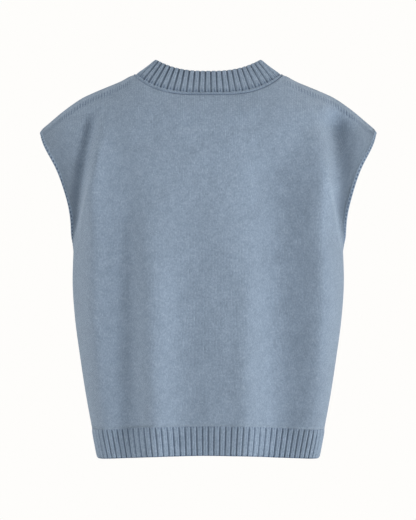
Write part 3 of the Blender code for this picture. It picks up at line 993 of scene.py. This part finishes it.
def make_armhole_edge(name, side, look):
    """A flat tube round the armhole, with the chain and the pits of its edge stitches on both sides."""
    points = armhole_line(side, "points")
    out = unit(armhole_line(side, "normals"))
    off = edge_directions(points, out, -side)
    middle = Path(points - out * (look.panel_wall / 2) + off * (EDGE_WIDTH / 2 - EDGE_SUNK), closed=True)
    stitches = round(middle.length / EDGE_STITCH)
    places = np.arange(stitches * EDGE_POINTS_PER_STITCH) / (stitches * EDGE_POINTS_PER_STITCH)
    line = middle.at(places)
    up = unit(middle.at(places, out))
    way = unit(middle.at(places, off))
    rows = []
    darks = []
    stitch = 2 * math.pi * places * stitches
    for angle in 2 * math.pi * np.arange(EDGE_POINTS_ROUND) / EDGE_POINTS_ROUND:
        level = min(angle, 2 * math.pi - angle)
        in_pit = math.exp(-(((level - EDGE_PIT_ANGLE) / EDGE_PIT_SPREAD) ** 2))
        pit = in_pit * ease(0.5 + EDGE_PIT_SHARPNESS * np.cos(stitch))
        chain_angle = EDGE_CHAIN_ANGLE + EDGE_CHAIN_SWING * np.cos(stitch)
        chain = np.exp(-(((level - chain_angle) / EDGE_CHAIN_SPREAD) ** 2))
        around = way * math.cos(angle) + up * math.sin(angle)
        wide = EDGE_WIDTH / 2 * math.cos(angle)
        high = EDGE_WALL / 2 * math.sin(angle)
        relief = EDGE_CHAIN * chain - EDGE_PIT * pit
        rows.append(line + way * wide + up * high + around * relief[:, None])
        # Painted shade in the pits and a painted highlight on the proud chain
        darks.append(PIT_DARK * pit - CHAIN_HIGHLIGHT * chain)
    grid = np.stack(rows, axis=1)
    piece = new_piece(name + "_knit", grid, grid_faces(*grid.shape[:2], closed=True), "melange_linking")
    along = np.repeat((places * middle.length)[:, None], EDGE_POINTS_ROUND, axis=1)
    lay_knit(piece, lengths_along(grid, 1), along)
    lay_values(piece, "dark", np.stack(darks, axis=1))
    face_outward(piece)
    return finish_piece(piece, "edge_knit", name)


def stitch_bead():
    """Points and faces of one linking stitch: a small sphere drawn out long and low."""
    deselect()
    bpy.ops.mesh.primitive_uv_sphere_add(segments=BEAD_ROUND, ring_count=BEAD_RINGS, radius=0.5)
    bead = bpy.context.object
    bpy.ops.transform.resize(value=(LINK_THICKNESS, LINK_THICKNESS, LINK_LENGTH))
    bpy.ops.object.transform_apply(location=False, rotation=False, scale=True)
    vertices = np.array([vertex.co[:] for vertex in bead.data.vertices])
    faces = [tuple(polygon.vertices) for polygon in bead.data.polygons]
    bpy.data.objects.remove(bead, do_unlink=True)
    return vertices, faces


def make_linking():
    """Chain stitches that link the foot of the neckband on: copies of one, each a little tilted, joined."""
    count = round(BandForm(np.zeros(1)).length / LINK_STITCH)
    form = BandForm(np.arange(count) / count)
    middles = form.points(LINK_UP, LINK_PROUD, np.zeros(count))
    sideways = unit(np.cross(form.seam_out, np.roll(middles, -1, axis=0) - np.roll(middles, 1, axis=0)))
    forward = unit(np.cross(sideways, form.seam_out))
    long_way = forward * math.cos(LINK_TILT) + sideways * math.sin(LINK_TILT)
    wide_way = sideways * math.cos(LINK_TILT) - forward * math.sin(LINK_TILT)
    vertices, faces = stitch_bead()
    ways = np.stack([wide_way, form.seam_out, long_way], axis=1)
    points = middles[:, None, :] + vertices @ ways
    starts = range(0, count * len(vertices), len(vertices))
    all_faces = [tuple(corner + start for corner in face) for start in starts for face in faces]
    piece = new_piece("neck_linking_stitches", points, all_faces, "melange_linking")
    across = np.tile(vertices[:, 0], count)
    upwards = np.arange(count)[:, None] * LINK_LENGTH + vertices[None, :, 2]
    lay_knit(piece, across, upwards)
    # Painted shade at the ends of each stitch
    lay_values(piece, "dark", np.tile(LINK_END_DARK * (2 * vertices[:, 2] / LINK_LENGTH) ** 2, count))
    return finish_piece(piece, "rib_knit")


class VestLook(PropertyGroup):
    """Sizes and colours of the vest that a user may change."""

    panel_wall: FloatProperty(name="Panel wall", description="Thickness of the plain knit in mm", default=2.4)
    rib_wall: FloatProperty(name="Rib wall", description="Thickness of the ribbed knit in mm", default=2.4)
    wale: FloatProperty(name="Wale", description="Width of a drawn stitch in mm", default=2.2)
    course: FloatProperty(name="Course", description="Height of a drawn stitch in mm", default=1.7)
    stitch_depth: FloatProperty(name="Stitch depth", description="Height of a stitch in mm", default=0.55)
    nap: FloatProperty(name="Nap", description="How much fine hairs catch the light", default=0.42, max=1.0)
    dark: FloatVectorProperty(
        name="Dark fibre", description="Darkest of the yarn", subtype="COLOR", default=linear("#687787")
    )
    middle: FloatVectorProperty(
        name="Middle fibre", description="Most of the yarn", subtype="COLOR", default=linear("#7E8EA0")
    )
    light: FloatVectorProperty(
        name="Light fibre", description="Palest of the yarn", subtype="COLOR", default=linear("#97A6B8")
    )
    brightness: FloatProperty(name="Brightness", description="Strength of the studio's lights", default=1.0)


class VEST_OT_panels(Operator):
    """Lay the plain knit over the front and back panels"""

    bl_idname = "vest.panels"
    bl_label = "Panels"

    def execute(self, context):
        look = context.scene.sweater_vest
        for panel in PANELS:
            piece = make_panel(panel, look)
        return {"FINISHED"}


class VEST_OT_hem_ribs(Operator):
    """Knit the ribs of the hem below both panels"""

    bl_idname = "vest.hem_ribs"
    bl_label = "Hem ribs"

    def execute(self, context):
        look = context.scene.sweater_vest
        for panel in PANELS:
            piece = make_hem_rib(panel, look)
        return {"FINISHED"}


class VEST_OT_neckband(Operator):
    """Knit the ribbed neckband and link it on"""

    bl_idname = "vest.neckband"
    bl_label = "Neckband"

    def execute(self, context):
        band = make_neckband(context.scene.sweater_vest)
        stitches = make_linking()
        return {"FINISHED"}


class VEST_OT_armhole_edges(Operator):
    """Knit the self edges of both armholes"""

    bl_idname = "vest.armhole_edges"
    bl_label = "Armhole edges"

    def execute(self, context):
        look = context.scene.sweater_vest
        for name, side, length in (("armhole_edge_left", 1, 0.458), ("armhole_edge_right", -1, 0.475)):
            piece = make_armhole_edge(name, side, look)
        return {"FINISHED"}


# Stage, in metres: the camera looks level at the back of the vest, and its frame is so high there
CAMERA_DISTANCE = 3.0
CAMERA_ACROSS = 0.0004
CAMERA_HEIGHT = -0.2753
FRAME_HEIGHT = 0.78
SENSOR = 36.0
BACKGROUND = "#FEFDFB"
FLOOR_HEIGHT = -1.0
FLOOR_NEAR = 0.9
FLOOR_FAR = 2.3
FLOOR_GLOW = 0.3
FLOOR_POINTS = 96
PAPER = (0.9, 0.9, 0.9, 1.0)
ROOM_GLOW = 0.44

# Softboxes round the vest: degrees round from the camera's left to its right, degrees up, and watts
LIGHT_DISTANCE = 2.8
LIGHT_SIZE = (1.0, 1.8)
LIGHT_AIM = (0, 0, -0.3)
SOFTBOXES = (
    ("key_softbox", 50, -14, 64),
    ("side_softbox", 77, -10, 27),
    ("front_fill", -12, 5, 14),
    ("left_fill", -73, 40, 26),
    ("top_fill", -60, 60, 11),
    ("low_fill", 0, -45, 17),
    ("far_fill", 170, 10, 22),
)


def make_floor():
    """White paper under the vest, which fades into the plain studio."""
    deselect()
    bpy.ops.mesh.primitive_circle_add(vertices=FLOOR_POINTS, radius=FLOOR_FAR, fill_type="NGON")
    floor = bpy.context.object
    floor.name = "floor"
    bpy.ops.transform.translate(value=(0, 0, FLOOR_HEIGHT))
    bpy.ops.object.transform_apply(location=True)
    paint = bpy.data.materials.new("matt_white_paper")
    tree = empty_tree(paint)
    place = add(tree, "ShaderNodeTexCoord", {}, {})
    level = vector_maths(tree, "MULTIPLY", {0: place.outputs["Object"], 1: (1, 1, 0)})
    distance = vector_maths(tree, "LENGTH", {0: level})
    span = {0: distance.outputs["Value"], 1: FLOOR_NEAR, 2: FLOOR_FAR}
    far = add(tree, "ShaderNodeMapRange", {"interpolation_type": "SMOOTHSTEP"}, span)
    paper = add(tree, "ShaderNodeBsdfDiffuse", {}, {"Color": PAPER})
    glow = add(tree, "ShaderNodeEmission", {}, {"Color": (*linear(BACKGROUND), 1.0), "Strength": FLOOR_GLOW})
    lit = add(tree, "ShaderNodeAddShader", {}, {0: paper, 1: glow})
    clear = add(tree, "ShaderNodeBsdfTransparent", {}, {})
    mixed = add(tree, "ShaderNodeMixShader", {}, {0: far, 1: lit, 2: clear})
    add(tree, "ShaderNodeOutputMaterial", {}, {0: mixed})
    floor.data.materials.append(paint)


def make_light(name, around, up, power):
    """A softbox that faces the vest from its place round it."""
    lamp = bpy.data.lights.new(name, "AREA")
    lamp.shape = "RECTANGLE"
    lamp.size, lamp.size_y = LIGHT_SIZE
    lamp.energy = power
    around = math.radians(around)
    up = math.radians(up)
    away = Vector((-math.sin(around) * math.cos(up), math.cos(around) * math.cos(up), math.sin(up)))
    light = new_object(name, lamp)
    light.location = Vector(LIGHT_AIM) + away * LIGHT_DISTANCE
    light.rotation_euler = (-away).to_track_quat("-Z", "Y").to_euler()


def make_world(look):
    """A plain pale studio: as bright as its paper where the camera sees it, and dimmer as a light."""
    world = bpy.data.worlds.new("studio")
    tree = empty_tree(world)
    colour = (*linear(BACKGROUND), 1.0)
    seen = add(tree, "ShaderNodeBackground", {}, {"Color": colour, "Strength": 1.0})
    room = add(tree, "ShaderNodeBackground", {}, {"Color": colour, "Strength": ROOM_GLOW * look.brightness})
    path = add(tree, "ShaderNodeLightPath", {}, {})
    either = add(tree, "ShaderNodeMixShader", {}, {0: path.outputs["Is Camera Ray"], 1: room, 2: seen})
    add(tree, "ShaderNodeOutputWorld", {}, {0: either})
    bpy.context.scene.world = world


def make_camera():
    """A long lens, level with the middle of the vest."""
    lens = bpy.data.cameras.new("camera")
    lens.sensor_width = SENSOR
    lens.lens = SENSOR * CAMERA_DISTANCE / FRAME_HEIGHT
    lens.clip_end = 100
    camera = new_object("camera", lens)
    camera.location = (CAMERA_ACROSS, CAMERA_DISTANCE, CAMERA_HEIGHT)
    camera.rotation_euler = (math.pi / 2, 0, math.pi)
    bpy.context.scene.camera = camera


class VEST_OT_stage(Operator):
    """Set up the floor, the soft lights and the camera"""

    bl_idname = "vest.stage"
    bl_label = "Stage"

    def execute(self, context):
        look = context.scene.sweater_vest
        make_floor()
        make_world(look)
        for name, around, up, power in SOFTBOXES:
            make_light(name, around, up, power * look.brightness)
        make_camera()
        context.scene.view_settings.view_transform = "Standard"
        return {"FINISHED"}


class VEST_PT_panel(Panel):
    """Sizes, colours and pieces of the vest"""

    bl_idname = "VEST_PT_panel"
    bl_label = "Sweater vest"
    bl_space_type = "VIEW_3D"
    bl_region_type = "UI"
    bl_category = "Vest"

    def draw(self, context):
        look = context.scene.sweater_vest
        for name in VestLook.__annotations__:
            self.layout.prop(look, name)
        for operator in OPERATORS:
            self.layout.operator(operator.bl_idname)


OPERATORS = (VEST_OT_panels, VEST_OT_hem_ribs, VEST_OT_neckband, VEST_OT_armhole_edges, VEST_OT_stage)
CLASSES = (VestLook, *OPERATORS, VEST_PT_panel)


def register():
    for kind in CLASSES:
        bpy.utils.register_class(kind)
    bpy.types.Scene.sweater_vest = PointerProperty(type=VestLook)


def unregister():
    del bpy.types.Scene.sweater_vest
    for kind in reversed(CLASSES):
        bpy.utils.unregister_class(kind)


def main():
    register()
    bpy.ops.vest.panels()
    bpy.ops.vest.hem_ribs()
    bpy.ops.vest.neckband()
    bpy.ops.vest.armhole_edges()
    bpy.ops.vest.stage()


if __name__ == "__main__":
    main()
